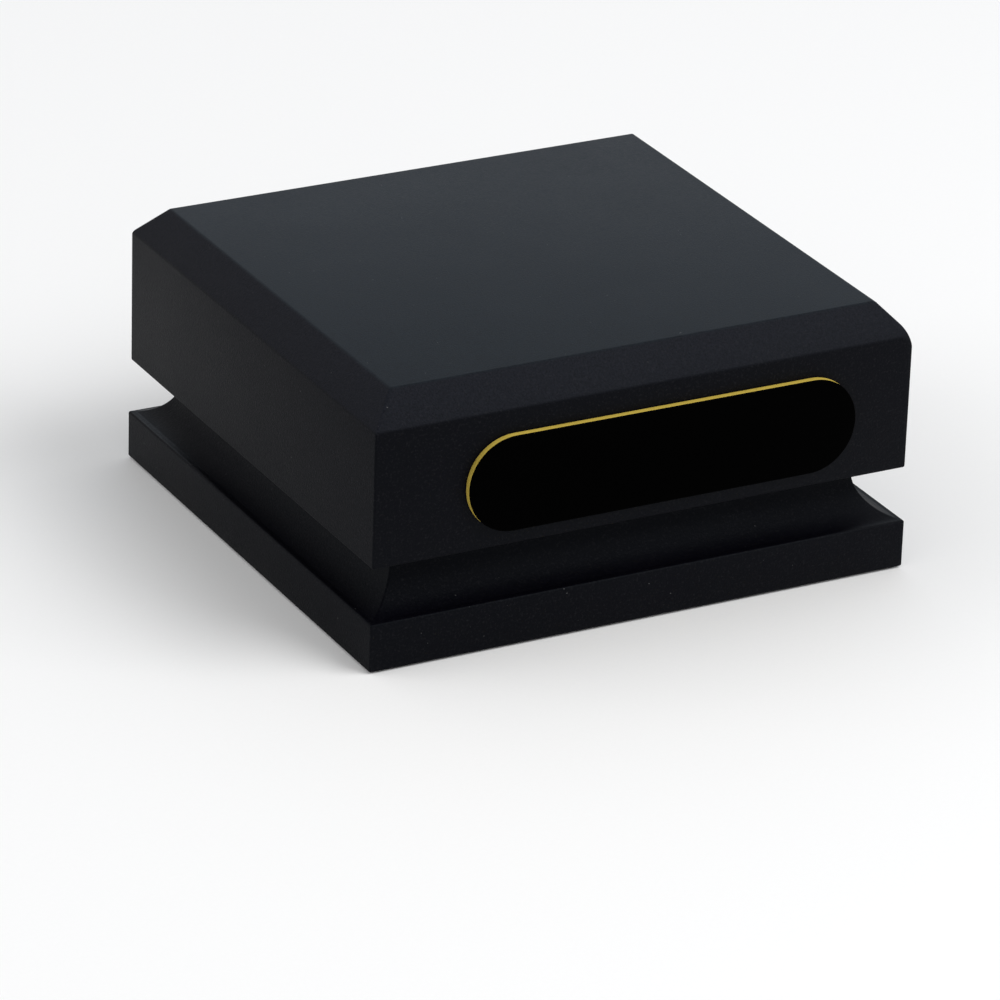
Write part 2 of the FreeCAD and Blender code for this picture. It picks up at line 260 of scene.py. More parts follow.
def tunnel(piece):
    """Joins the top's and the bottom's middle face by a hole through the piece."""
    pick_faces(piece, lambda middle, normal: abs(normal.z) > ALIGNED and middle.xy.length < millimetre)
    bpy.ops.mesh.bridge_edge_loops()
    object_mode()


def copy_to(piece, name, offset):
    """Makes a copy with its own mesh and puts its new place into that mesh."""
    activate(piece)
    bpy.ops.object.duplicate_move(TRANSFORM_OT_translate={"value": offset})
    settle()
    return rename(bpy.context.object, name)


def one_per_corner(first, reach_x, reach_y):
    """The first one stands at the front right. Copies of it go to the other three corners."""
    pieces = {"front_right": first}
    for corner, (sign_x, sign_y) in corner_signs.items():
        if corner not in pieces:
            offset = ((sign_x - 1) * reach_x, (sign_y + 1) * reach_y, 0)
            pieces[corner] = copy_to(first, first.name.replace("front_right", corner), offset)
    return pieces


def at_corners(reach_x, reach_y):
    return [(sign_x * reach_x, sign_y * reach_y) for sign_x, sign_y in corner_signs.values()]


def rods_at(places, radius, low, high, sides=48):
    """One rod at each place, to drill with."""
    return [new_rod("drill", x, y, radius, low, high, sides) for x, y in places]


print("pieces can be cut, joined and copied")

# %% Finishing a piece
def open_edges(piece):
    uses = {}
    for face in piece.data.polygons:
        for key in face.edge_keys:
            uses[key] = uses.get(key, 0) + 1
    return sum(1 for count in uses.values() if count != 2)


finished = []


def finish_piece(piece, body, slot, *nodes, smooth=35):
    """Tidies and smooths a piece, then lets it ride on its body in place of its nodes."""
    tidy_mesh(piece)
    bpy.ops.object.shade_smooth_by_angle(angle=math.radians(smooth))
    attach(piece, body)
    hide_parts(*nodes)
    finished.append((piece, slot))
    size = [round(1000 * length, 2) for length in piece.dimensions]
    print(piece.name, "measures", size, "mm,", len(piece.data.polygons), "faces, open", open_edges(piece))


print("pieces can be finished")

# %% [markdown]
# ## The handle block
# The real block is a slab of wood, planed square, with its four top edges planed off at an angle and
# the whole sprayed black. The chamfers are one inset of the top face that is lifted as it shrinks,
# just as a plane would leave them. A real edge is never razor sharp, so the right shoulder, which was
# sanded more than the others, gets a wide bevel and all the rest a narrow one. The pocket for the
# working parts is milled from below, so the bottom face is inset and pushed in. The bores over the
# posts and the holes for the screws are drilled, which a Boolean modifier does best.

# %% The handle block
handle_low, handle_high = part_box("handle_block")
carrier_low, carrier_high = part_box("carrier")
post_low, post_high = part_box("guide_post_front_right")
post_x = (post_low.x + post_high.x) / 2
post_y = -(post_low.y + post_high.y) / 2

seat_gap = 0.02 * millimetre
stroke = 5.0 * millimetre
chamfer_inset = 3.9 * millimetre
chamfer_rise = 4.2 * millimetre
shoulder_radius = 1.8 * millimetre
handle_ease = 0.3 * millimetre
shoulder_z = handle_high.z - chamfer_rise

handle = new_block("handle", handle_low, (handle_high.x, handle_high.y, shoulder_z))
pick_faces(handle, looks_up)
bpy.ops.mesh.inset(thickness=chamfer_inset, depth=chamfer_rise)
object_mode()


def right_shoulder(middle, way):
    return middle.x > handle_high.x - NEAR and abs(middle.z - shoulder_z) < NEAR


round_edges(handle, right_shoulder, shoulder_radius, segments=10)
ease_edges(handle, handle_ease, segments=3)
print("the outside has", len(handle.data.polygons), "faces")

# %% The handle block's pocket and bores
handle_wall = 4.0 * millimetre
mouth = 1.5 * millimetre
pocket_corner_radius = 0.9 * millimetre
pocket_ceiling = carrier_high.z + seat_gap
overrun = 1.5 * millimetre
bore_radius = 4.2 * millimetre
bore_headroom = 1.0 * millimetre
screw_x, screw_y = 21.0 * millimetre, 18.0 * millimetre
pilot_radius = 1.27 * millimetre
pilot_depth = 9.5 * millimetre

pick_faces(handle, looks_down)
bpy.ops.mesh.inset(thickness=handle_wall - mouth - handle_ease)
bpy.ops.mesh.inset(thickness=mouth, depth=-mouth)
extrude(pocket_ceiling - handle_low.z - mouth)
object_mode()


def pocket_corner(middle, way):
    in_pocket = abs(middle.x) < handle_high.x - handle_wall + NEAR
    return upright(middle, way) and in_pocket and middle.z < pocket_ceiling


round_edges(handle, pocket_corner, pocket_corner_radius, segments=5)
drill_start = pocket_ceiling - overrun
bore_top = post_high.z + stroke + bore_headroom
pilot_top = carrier_low.z + pilot_depth
bores = rods_at(at_corners(post_x, post_y), bore_radius, drill_start, bore_top)
pilots = rods_at(at_corners(screw_x, screw_y), pilot_radius, drill_start, pilot_top, sides=24)
combine(handle, bores + pilots)
finish_piece(handle, "handle", "painted_wood", "handle_block")

# %% [markdown]
# ## The base block
# The base is one piece of wood with a hollow moulding cut round it, which the fingers grip. The
# hollow is a quarter round, called a cove. A cutter would run along a side, but on a square block the
# same shape comes from the top face: inset it a little and lift it a little, again and again, each
# step taken from the circle of the cutter. The corners then mitre by themselves. The window for the
# die, the groove for the foot and the holes for posts and screws are cut last.

# %% The base block's outside
base_low, base_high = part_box("base_block")
flange_top = 7.0 * millimetre
base_ease = 0.25 * millimetre
cove_radius = 6.4 * millimetre
cove_axis_out = 0.9 * millimetre
cove_steps = 18
cove_start = math.acos(cove_axis_out / cove_radius)


def cove_point(step):
    """How far in and how high the hollow is after so many steps, from its cutter's axis."""
    angle = cove_start * (1 - step / cove_steps)
    return cove_radius * math.cos(angle), -cove_radius * math.sin(angle)


base = new_block("base", base_low, (base_high.x, base_high.y, flange_top))
pick_faces(base, looks_up)
for step in range(cove_steps):
    inward, height = cove_point(step)
    next_inward, next_height = cove_point(step + 1)
    bpy.ops.mesh.inset(thickness=next_inward - inward, depth=next_height - height)
extrude(base_high.z - flange_top - cove_radius * math.sin(cove_start))
object_mode()
ease_edges(base, base_ease, segments=3)
print("the cove has", cove_steps, "steps of", round(math.degrees(cove_start / cove_steps), 1), "degrees")

# %% The base block's window, groove and holes
liner_low, liner_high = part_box("window_liner")
foot_low, foot_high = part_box("foot_ring")
spring_low, spring_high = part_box("return_spring_front_right")
screw_low, screw_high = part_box("depth_screw_right")
insert_low, insert_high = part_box("depth_insert_right")
depth_x = (screw_low.x + screw_high.x) / 2
depth_places = [(-depth_x, 0), (depth_x, 0)]

liner_lip = 1.5 * millimetre
window_half_x = liner_high.x - liner_lip
window_half_y = liner_high.y - liner_lip
window_corner = 6.0 * millimetre
foot_width = 3.0 * millimetre
foot_corner = 3.0 * millimetre
spring_hole_radius = 3.3 * millimetre
post_hole_radius = 1.52 * millimetre
insert_hole_radius = 2.42 * millimetre
screw_hole_radius = 1.8 * millimetre
below = base_low.z - 1.0 * millimetre
above = base_high.z + 1.0 * millimetre

pick_faces(base, looks_down)
bpy.ops.mesh.inset(thickness=base_high.x - foot_high.x - seat_gap - base_ease)
bpy.ops.mesh.inset(thickness=foot_width + 2 * seat_gap)
object_mode()


def groove_floor(middle, normal):
    in_x = foot_high.x - foot_width < abs(middle.x) < foot_high.x
    in_y = foot_high.y - foot_width < abs(middle.y) < foot_high.y
    return looks_down(middle, normal) and (in_x or in_y)


def groove_corner(middle, way):
    outer = abs(middle.x) > foot_high.x - NEAR and abs(middle.y) > foot_high.y - NEAR
    return upright(middle, way) and outer and base_low.z + 2 * base_ease < middle.z < foot_high.z


pick_faces(base, groove_floor)
extrude(foot_high.z + seat_gap - base_low.z)
object_mode()
round_edges(base, groove_corner, foot_corner, segments=6)
combine(base, [new_slab("cutter", window_half_x, window_half_y, below, above, window_corner)])
posts = at_corners(post_x, post_y)
spring_seat = spring_low.z - seat_gap
combine(base, rods_at(posts, spring_hole_radius, spring_seat, above))
post_holes = rods_at(posts, post_hole_radius, post_low.z - seat_gap, spring_low.z + overrun, sides=32)
insert_holes = rods_at(depth_places, insert_hole_radius, below, insert_high.z + seat_gap)
combine(base, post_holes + insert_holes)
combine(base, rods_at(depth_places, screw_hole_radius, insert_low.z, above, sides=32))
finish_piece(base, "base", "painted_wood", "base_block")

# %% [markdown]
# ## The name plate
# The plate is a strip of brass about a millimetre thick with round ends, lacquered black on its face,
# so only its cut edge shows gold. Rounding the four short edges of a block by half its height gives
# the round ends. A narrow bevel round the face catches a thin line of light.

# %% The name plate
plate_low, plate_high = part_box("name_plate")
tape_low, tape_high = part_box("plate_tape")
plate_bevel = 0.2 * millimetre
just_short = 0.9999


def obround(name, low, high):
    """A plate with round ends that faces the front. Its bevels stop just short of each other."""
    piece = new_block(name, low, high)
    end_radius = (high.z - low.z) / 2 * just_short
    round_edges(piece, lambda middle, way: abs(way.y) > ALIGNED, end_radius, segments=24)
    return piece


plate = obround("plate", plate_low, plate_high)
tidy_mesh(plate)
round_edges(plate, lambda middle, way: middle.y < plate_low.y + NEAR, plate_bevel)
finish_piece(plate, "handle", "plate", "name_plate")
finish_piece(obround("tape", tape_low, tape_high), "handle", "tape", "plate_tape")

# %% [markdown]
# ## The rubber foot
# A ring of black rubber sits in the groove under the base, a quarter of a millimetre proud, so the
# stamp can't slip. It could be swept along a path. A block whose top and bottom are inset and joined
# by a tunnel is quicker, and its square section is right. The pressed groove along its middle leaves
# two narrow treads.

# %% The rubber foot
tread_width = 0.9 * millimetre
tread_slope = 0.3 * millimetre
tread_depth = 0.35 * millimetre
foot_ease = 0.1 * millimetre


def foot_outer_corner(middle, way):
    return upright(middle, way) and abs(middle.x) > foot_high.x - NEAR


foot = new_block("foot", (-foot_high.x, -foot_high.y, foot_low.z), foot_high)
pick_faces(foot, lambda middle, normal: abs(normal.z) > ALIGNED)
bpy.ops.mesh.inset(thickness=foot_width)
object_mode()
tunnel(foot)
round_edges(foot, foot_outer_corner, foot_corner, segments=6)
pick_faces(foot, looks_down)
bpy.ops.mesh.inset(thickness=tread_width)
bpy.ops.mesh.inset(thickness=tread_slope, depth=-tread_depth)
object_mode()
ease_edges(foot, foot_ease)
finish_piece(foot, "base", "soft_rubber", "foot_ring")

# %% [markdown]
# ## The window's liner
# A moulded sleeve keeps ink off the wood of the window, and its lip rests on top of the neck. The
# sleeve is a slab with rounded corners, its lip is the top band of side faces pushed outwards, and
# the opening is a tunnel again.

# %% The window's liner
lip_thickness = 0.8 * millimetre
liner_wall = 1.2 * millimetre
liner_ease = 0.15 * millimetre
lip_low = liner_high.z - lip_thickness
sleeve_x = window_half_x - seat_gap
sleeve_y = window_half_y - seat_gap

liner = new_slab("liner", sleeve_x, sleeve_y, liner_low.z, lip_low, window_corner)
pick_faces(liner, looks_up)
extrude(lip_thickness)
pick_faces(liner, lambda middle, normal: abs(normal.z) < 0.1 and middle.z > lip_low)
push_out = {"value": liner_lip + seat_gap}
bpy.ops.mesh.extrude_region_shrink_fatten(TRANSFORM_OT_shrink_fatten=push_out)
pick_faces(liner, lambda middle, normal: looks_down(middle, normal) and middle.z < lip_low - NEAR)
bpy.ops.mesh.inset(thickness=liner_wall - seat_gap)
pick_faces(liner, looks_up)
bpy.ops.mesh.inset(thickness=liner_wall - seat_gap)
object_mode()
tunnel(liner)
ease_edges(liner, liner_ease)
finish_piece(liner, "base", "black_abs", "window_liner")

# %% [markdown]
# ## Turned pieces
# Posts, bushes, plugs and screws are turned on a lathe or moulded round an axis. Blender's Spin
# operator would sweep a profile round. Here a circle is extruded along the axis and scaled at each
# step instead, which follows the lathe tool's path from one end to the other, inside and outside.

# %% Turning
def turned(name, x, y, profile, sides=40, hollow=False):
    """Turns a profile of (radius, height) points. A hollow one goes round all four sides of its wall."""
    activate(None)
    radius, height = profile[0]
    bpy.ops.mesh.primitive_circle_add(
        vertices=sides, radius=radius, fill_type="NOTHING" if hollow else "NGON", location=(x, y, height)
    )
    piece = rename(bpy.context.object, name)
    settle()
    edit(piece, "VERT")
    bpy.ops.mesh.select_all(action="SELECT")
    for next_radius, next_height in profile[1:] + (profile[:1] if hollow else []):
        extrude(next_height - height)
        share = next_radius / radius
        bpy.ops.transform.resize(value=(share, share, 1), center_override=(x, y, next_height))
        radius, height = next_radius, next_height
    object_mode()
    tidy_mesh(piece)
    return piece


def in_millimetres(points):
    """Profiles are written with radii in millimetres and with the frame's own heights."""
    return [(radius * millimetre, height) for radius, height in points]


print("pieces can be turned")

# %% The guide posts
clip_low, clip_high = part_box("post_clip_front_right")
ease = 0.3 * millimetre
post_radius = 1.5
clip_groove_radius = 1.15

post = turned("post_front_right", post_x, -post_y, in_millimetres([
    (1.2, post_low.z),
    (post_radius, post_low.z + ease),
    (post_radius, clip_low.z - seat_gap),
    (clip_groove_radius, clip_low.z - seat_gap),
    (clip_groove_radius, clip_high.z + seat_gap),
    (post_radius, clip_high.z + seat_gap),
    (post_radius, post_high.z - 1.5 * ease),
    (1.35, post_high.z - 0.6 * ease),
    (1.0, post_high.z),
]))
for corner, piece in one_per_corner(post, post_x, post_y).items():
    finish_piece(piece, "base", "bright_steel", "guide_post_" + corner)

# %% The clips on the posts
clip_inner, clip_outer = 1.17, 3.0
half_slot = 1.0 * millimetre
slot_length = 4.0 * millimetre
relief_reach = 1.35 * millimetre
relief_radius = 0.7 * millimetre


def post_clip(x, y):
    """An E shaped clip: a ring, a slot on one side, and two round reliefs between its lugs."""
    low, high = clip_low.z, clip_high.z
    ring = in_millimetres([(clip_inner, low), (clip_inner, high), (clip_outer, high), (clip_outer, low)])
    clip = turned("clip_front_right", x, y, ring, hollow=True)
    low, high = low - millimetre, high + millimetre
    combine(clip, [new_block("cutter", (x - half_slot, y, low), (x + half_slot, y + slot_length, high))])
    for turn in (-150, -30):
        around = math.radians(turn)
        place = (x + relief_reach * math.cos(around), y + relief_reach * math.sin(around))
        combine(clip, [new_rod("cutter", *place, relief_radius, low, high, sides=24)])
    return clip


for corner, piece in one_per_corner(post_clip(post_x, -post_y), post_x, post_y).items():
    finish_piece(piece, "base", "dark_steel", "post_clip_" + corner)

# %% The guide bushes
bush_low, bush_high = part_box("guide_bush_front_right")
bush_bore, bush_radius, bush_flange = 1.55, 2.55, 3.5
bush_step = bush_low.z + 0.8 * millimetre
lead = 0.2

bush = turned("bush_front_right", post_x, -post_y, in_millimetres([
    (bush_bore + lead, bush_low.z),
    (bush_bore, bush_low.z + lead * millimetre),
    (bush_bore, bush_high.z - lead * millimetre),
    (bush_bore + lead, bush_high.z),
    (bush_radius - 0.15, bush_high.z),
    (bush_radius, bush_high.z - lead * millimetre),
    (bush_radius, bush_step),
    (bush_flange - lead, bush_step),
    (bush_flange, bush_step - lead * millimetre),
    (bush_flange, bush_low.z + lead * millimetre),
    (bush_flange - lead, bush_low.z),
]), hollow=True)
for corner, piece in one_per_corner(bush, post_x, post_y).items():
    finish_piece(piece, "handle", "acetal", "guide_bush_" + corner)

# %% [markdown]
# ## The return springs
# A compression spring is a helix whose last turn at each end lies flat against the turn before it,
# and is ground square, so that it stands upright. The Screw modifier would give one pitch all along.
# A curve has the freedom to change pitch, so a NURBS path is laid round the post with the wire's
# radius as its bevel, made a mesh, and its two ends are ground off by a bisect. The spring shortens
# as the handle comes down, and each spring is given a mesh of its own.

# %% The return springs
wire_radius = 0.3 * millimetre
coil_radius = 2.6 * millimetre
points_per_turn = 20
dead_turns = 1
live_turns = 6
coil_gap = 0.04 * millimetre
spring_length = spring_high.z - spring_low.z


def coil_height(turn):
    """How high the wire's centre is after so many turns."""
    turns = live_turns + 2 * dead_turns
    dead_rise = (2 * wire_radius + coil_gap) * dead_turns
    live_rise = spring_length - wire_radius - 2 * dead_rise
    first = min(turn, dead_turns) / dead_turns * dead_rise
    last = max(turn - turns + dead_turns, 0) / dead_turns * dead_rise
    live = min(max(turn - dead_turns, 0), live_turns) / live_turns
    return wire_radius / 2 + first + live * live_rise + last


def return_spring(middle_x, middle_y):
    activate(None)
    bpy.ops.curve.primitive_nurbs_path_add(location=(0, 0, 0))
    path = bpy.context.object
    count = (live_turns + 2 * dead_turns) * points_per_turn + 1
    line = path.data.splines[0]
    line.points.add(count - len(line.points))
    # the spline runs inside its control points, so they stand a little further out
    reach = coil_radius / ((1 + math.cos(math.tau / points_per_turn)) / 2)
    for i, point in enumerate(line.points):
        around = math.tau * i / points_per_turn
        x = middle_x + reach * math.cos(around)
        y = middle_y + reach * math.sin(around)
        point.co = (x, y, spring_low.z + coil_height(i / points_per_turn), 1)
    line.order_u = 3
    line.use_endpoint_u = True
    line.resolution_u = 2
    path.data.bevel_depth = wire_radius
    path.data.bevel_resolution = 2
    path.data.use_fill_caps = True
    bpy.ops.object.convert(target="MESH")
    spring = rename(bpy.context.object, "spring_front_right")
    tidy_mesh(spring)
    cut_off(spring, spring_low.z, -1)
    cut_off(spring, spring_high.z, 1)
    return spring


for corner, piece in one_per_corner(return_spring(post_x, -post_y), post_x, post_y).items():
    finish_piece(piece, "base", "bright_steel", "return_spring_" + corner, smooth=50)
    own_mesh(piece)

# %% [markdown]
# ## The depth screws and their inserts
# A headless screw in each side of the neck ends the stroke, and a hexagon key turns it from below. A
# thread is one tooth swept round and up: a single point is extruded into the tooth's outline, the
# Screw modifier sweeps it, and a bisect at each end cuts the screw to length. The brass insert is
# turned, and then every second edge round its middle is drawn in, which makes the straight knurling
# that grips the wood.

# %% The depth screws
pitch = 0.5 * millimetre
screw_radius = 1.5 * millimetre
thread_depth = 0.28 * millimetre
run_in = 2.3 * pitch
spare_turns = 5
socket_half_width = 0.75 * millimetre
socket_depth = 1.5 * millimetre


def swept_thread(name):
    activate(None)
    start = (screw_radius - thread_depth, 0, screw_low.z - run_in)
    bpy.ops.mesh.primitive_plane_add(size=pitch, location=start)
    piece = rename(bpy.context.object, name)
    settle()
    edit(piece, "VERT")
    bpy.ops.mesh.select_all(action="SELECT")
    bpy.ops.mesh.merge(type="CENTER")
    for outward, share in ((0, 0.1), (thread_depth, 0.35), (0, 0.2), (-thread_depth, 0.35)):
        move = {"value": (outward, 0, share * pitch)}
        bpy.ops.mesh.extrude_vertices_move(TRANSFORM_OT_translate=move)
    object_mode()
    sweep = piece.modifiers.new("sweep", "SCREW")
    sweep.axis = "Z"
    sweep.screw_offset = pitch
    sweep.iterations = int((screw_high.z - screw_low.z) / pitch) + spare_turns
    sweep.steps = sweep.render_steps = 28
    activate(piece)
    bpy.ops.object.modifier_apply(modifier=sweep.name)
    tidy_mesh(piece)
    return piece


def depth_screw():
    piece = swept_thread("threaded_stop_right")
    cut_off(piece, screw_low.z, -1)
    cut_off(piece, screw_high.z, 1)
    socket_radius = socket_half_width / math.cos(math.pi / 6)
    socket = (socket_radius, screw_low.z - pitch, screw_low.z + socket_depth)
    combine(piece, [new_rod("cutter", 0, 0, *socket, sides=6)])
    piece.location = (depth_x, 0, 0)
    activate(piece)
    settle()
    return piece


right_screw = depth_screw()
left_screw = copy_to(right_screw, "threaded_stop_left", (-2 * depth_x, 0, 0))
for side_name, piece in (("right", right_screw), ("left", left_screw)):
    finish_piece(piece, "depth_screw_" + side_name, "dark_steel", "depth_screw_" + side_name)

# %% The threaded inserts
knurls = 30
knurl_draw = 0.94
knurled_beyond = 2.3 * millimetre
half_waist = 0.5 * millimetre


def depth_insert(x):
    low, high = insert_low.z, insert_high.z
    waist = (low + high) / 2
    profile = in_millimetres([
        (1.8, low), (1.55, low + ease), (1.55, high - ease), (1.8, high),
        (2.1, high), (2.4, high - ease), (2.4, waist + half_waist), (2.1, waist + half_waist),
        (2.1, waist - half_waist), (2.4, waist - half_waist), (2.4, low + ease), (2.1, low),
    ])
    insert = turned("insert_right", x, 0, profile, sides=2 * knurls, hollow=True)

    def every_second(middle, way):
        around = math.atan2(middle.y, middle.x - x) / math.tau * 2 * knurls
        far_out = math.hypot(middle.x - x, middle.y) > knurled_beyond
        return upright(middle, way) and far_out and round(around) % 2 == 0

    pick_edges(insert, every_second)
    bpy.ops.transform.resize(value=(knurl_draw, knurl_draw, 1), center_override=(x, 0, waist))
    object_mode()
    return insert


right_insert = depth_insert(depth_x)
left_insert = copy_to(right_insert, "insert_left", (-2 * depth_x, 0, 0))
for side_name, piece in (("right", right_insert), ("left", left_insert)):
    finish_piece(piece, "base", "brass", "depth_insert_" + side_name, smooth=20)

# %% [markdown]
# ## The carrier and its screws
# The carrier is a flat plate screwed up under the ceiling of the handle's pocket. It holds the
# bushes, and the cartridge pushes into it. Its holes are drilled and countersunk in one go with
# turned cutters of the same outline as the screws.

# %% The carrier
stud_places = [(x * millimetre, y * millimetre) for x, y in ((-20, 0), (20, 0), (0, -17), (0, 17))]
carrier_corner = 1.5 * millimetre
carrier_ease = 0.15 * millimetre
bush_hole_radius = 2.57 * millimetre
stud_hole_radius = 2.05 * millimetre
head_height = 1.5 * millimetre
below_carrier = carrier_low.z - 0.5 * millimetre
above_carrier = carrier_high.z + 0.5 * millimetre
countersink = in_millimetres([
    (3.34, below_carrier),
    (2.82, carrier_low.z),
    (1.27, carrier_low.z + head_height),
    (1.27, above_carrier),
])

half_x, half_y = carrier_high.x, carrier_high.y
carrier = new_slab(
    "carrier_plate", half_x, half_y, carrier_low.z, carrier_high.z, carrier_corner, segments=5
)
ease_edges(carrier, carrier_ease)
bush_holes = rods_at(posts, bush_hole_radius, below_carrier, above_carrier, sides=40)
stud_holes = rods_at(stud_places, stud_hole_radius, below_carrier, above_carrier, sides=40)
sinks = [turned("drill", x, y, countersink) for x, y in at_corners(screw_x, screw_y)]
combine(carrier, bush_holes + sinks + stud_holes)
finish_piece(carrier, "handle", "black_abs", "carrier")

# %% The carrier's screws
thread_step = 0.9 * millimetre
screw_length = 9.0 * millimetre
plain_length = 0.6 * millimetre
cross_depth = 0.8 * millimetre


def wood_screw(x, y):
    """A countersunk screw: its head, then ridges that stand for its coarse thread, then its point."""
    low = carrier_low.z
    tip = low + screw_length
    profile = [(2.65, low), (2.75, low + 0.1 * millimetre), (1.1, low + head_height)]
    height = low + head_height + plain_length
    while height + thread_step < tip - thread_step:
        crest, root = height + 0.45 * thread_step, height + 0.6 * thread_step
        profile += [(0.95, height), (1.24, crest), (0.95, root)]
        height += thread_step
    profile += [(0.9, tip - thread_step), (0.25, tip)]
    screw = turned("screw_front_right", x, y, in_millimetres(profile), sides=28)
    for reach_x, reach_y in ((1.25, 0.3), (0.3, 1.25)):
        reach = Vector((reach_x, reach_y, 0)) * millimetre
        bottom = Vector((x, y, low - millimetre)) - reach
        top = Vector((x, y, low + cross_depth)) + reach
        combine(screw, [new_block("cutter", bottom, top)])
    return screw


screw_pieces = one_per_corner(wood_screw(screw_x, -screw_y), screw_x, screw_y)
screws = rename(join(list(screw_pieces.values())), "screws")
finish_piece(screws, "handle", "zinc_steel", "carrier_screws")

# %% [markdown]
# ## The ink cartridge
# The cartridge is a moulded tray, open below, filled with felt. The foam die closes it, clamped by a
# frame. Four studs on its roof push into the carrier, and two rubber plugs close the holes where ink
# is refilled. The tray is a slab hollowed from below by one inset and one extrude. The studs are
# turned and united with it, and the seats for the plugs are cut with turned cutters.

# %% The ink tray
tray_low, tray_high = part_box("ink_tray")
felt_low, felt_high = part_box("ink_felt")
tray_corner = 4.0 * millimetre
tray_wall = 1.4 * millimetre
tray_ease = 0.2 * millimetre
tray_roof = carrier_low.z - 0.05 * millimetre
plug_x = 9.0 * millimetre
stud = in_millimetres([(2.0, tray_roof - millimetre), (2.0, tray_high.z - ease), (1.7, tray_high.z)])
plug_seat = tray_roof - 1.02 * millimetre
plug_hole = in_millimetres([
    (2.02, tray_roof - 3 * millimetre),
    (2.02, plug_seat),
    (3.22, plug_seat),
    (3.22, tray_roof + millimetre),
])

tray = new_slab("tray", tray_high.x, tray_high.y, tray_low.z, tray_roof, tray_corner)
pick_faces(tray, looks_down)
bpy.ops.mesh.inset(thickness=tray_wall)
extrude(felt_high.z + seat_gap - tray_low.z)
object_mode()
ease_edges(tray, tray_ease)
for x, y in stud_places:
    combine(tray, [turned("stud", x, y, stud)], "UNION")
for side in (-1, 1):
    combine(tray, [turned("cutter", side * plug_x, 0, plug_hole)])
finish_piece(tray, "cartridge", "black_abs", "ink_tray")

# %% The refill plugs
plug_low, plug_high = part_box("refill_plugs")


def refill_plug(x):
    """A stem with a rounded end, a flat head, and a dimple to lift it by."""
    profile = in_millimetres([
        (1.6, plug_low.z),
        (2.0, plug_low.z + ease),
        (2.0, plug_high.z - millimetre),
        (3.0, plug_high.z - millimetre),
        (3.2, plug_high.z - 0.8 * millimetre),
        (3.2, plug_high.z - 0.15 * millimetre),
        (3.0, plug_high.z),
        (1.2, plug_high.z),
        (0.8, plug_high.z - 0.5 * millimetre),
    ])
    return turned("plug", x, 0, profile)


right_plug = refill_plug(plug_x)
left_plug = copy_to(right_plug, "plug_left", (-2 * plug_x, 0, 0))
plugs = rename(join([right_plug, left_plug]), "plugs")
finish_piece(plugs, "cartridge", "soft_rubber", "refill_plugs")

# %% [markdown]
# ## The felt and the foam die
# The felt is a dense block of fibre, cut a little unevenly. It is a slab with soft edges. Subdividing
# its long flat faces would give slivers, so it is remeshed into small even faces, which a cloud
# texture then pushes about. The die is an open foam that soaks up ink: a flange, a block below it,
# and half a millimetre of raised relief that carries the print, here a plain border and bars.

# %% The felt
nap = 0.1 * millimetre
felt_corner = tray_corner - tray_wall
felt_ease = 0.5 * millimetre
voxel = 0.6 * millimetre
lump = 2.5 * millimetre

half_x, half_y = felt_high.x - nap, felt_high.y - nap
felt = new_slab("felt", half_x, half_y, felt_low.z + nap, felt_high.z - nap, felt_corner)
ease_edges(felt, felt_ease, segments=3)
activate(felt)
felt.data.remesh_voxel_size = voxel
felt.data.remesh_voxel_adaptivity = 0
bpy.ops.object.voxel_remesh()
clouds = bpy.data.textures.new("felt_surface", "CLOUDS")
clouds.noise_scale = lump
push = felt.modifiers.new("push", "DISPLACE")
push.texture = clouds
push.texture_coords = "LOCAL"
push.mid_level = 0.6
push.strength = 2.5 * nap
bpy.ops.object.modifier_apply(modifier=push.name)
finish_piece(felt, "cartridge", "felt", "ink_felt", smooth=60)

# %% The foam die
die_low, die_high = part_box("flash_die")
flange_low = die_high.z - 2.0 * millimetre
flange_width = 2.9 * millimetre
relief_depth = 0.5 * millimetre
relief_slope = 0.05 * millimetre
border = 1.2 * millimetre
block_x = felt_high.x - flange_width
block_corner = 0.8 * millimetre
die_ease = 0.12 * millimetre
bar_lengths = (30.0, 22.0, 26.0)
bar_pitch = 8.0 * millimetre
bar_width = 3.0 * millimetre
bar_corner = 0.9 * millimetre


def flange_corner(middle, way):
    return upright(middle, way) and middle.z > flange_low


def block_edge(middle, way):
    return upright(middle, way) and abs(middle.x) > block_x - NEAR and middle.z < flange_low


die = new_block("die", (-felt_high.x, -felt_high.y, flange_low), (felt_high.x, felt_high.y, die_high.z))
pick_faces(die, looks_down)
bpy.ops.mesh.inset(thickness=flange_width)
extrude(die_low.z - flange_low)
bpy.ops.mesh.inset(thickness=border)
bpy.ops.mesh.inset(thickness=relief_slope, depth=-relief_depth)
object_mode()
round_edges(die, flange_corner, felt_corner, segments=6)
round_edges(die, block_edge, block_corner, segments=4)
ease_edges(die, die_ease)
for row, length in enumerate(bar_lengths):
    reach = Vector((length / 2 * millimetre, bar_width / 2, 0))
    middle = Vector((0, (1 - row) * bar_pitch, die_low.z))
    bar = new_block("bar", middle - reach, middle + reach + Vector((0, 0, 2 * relief_depth)))
    round_edges(bar, upright, bar_corner, segments=5)
    combine(die, [bar], "UNION")
finish_piece(die, "cartridge", "die_foam", "flash_die")

# %% The die's frame
frame_low, frame_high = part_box("die_frame")
step_in = frame_high.x - felt_high.x
opening = block_x + 0.4 * millimetre
frame_ease = 0.2 * millimetre
tray_bottom = tray_low.z - seat_gap

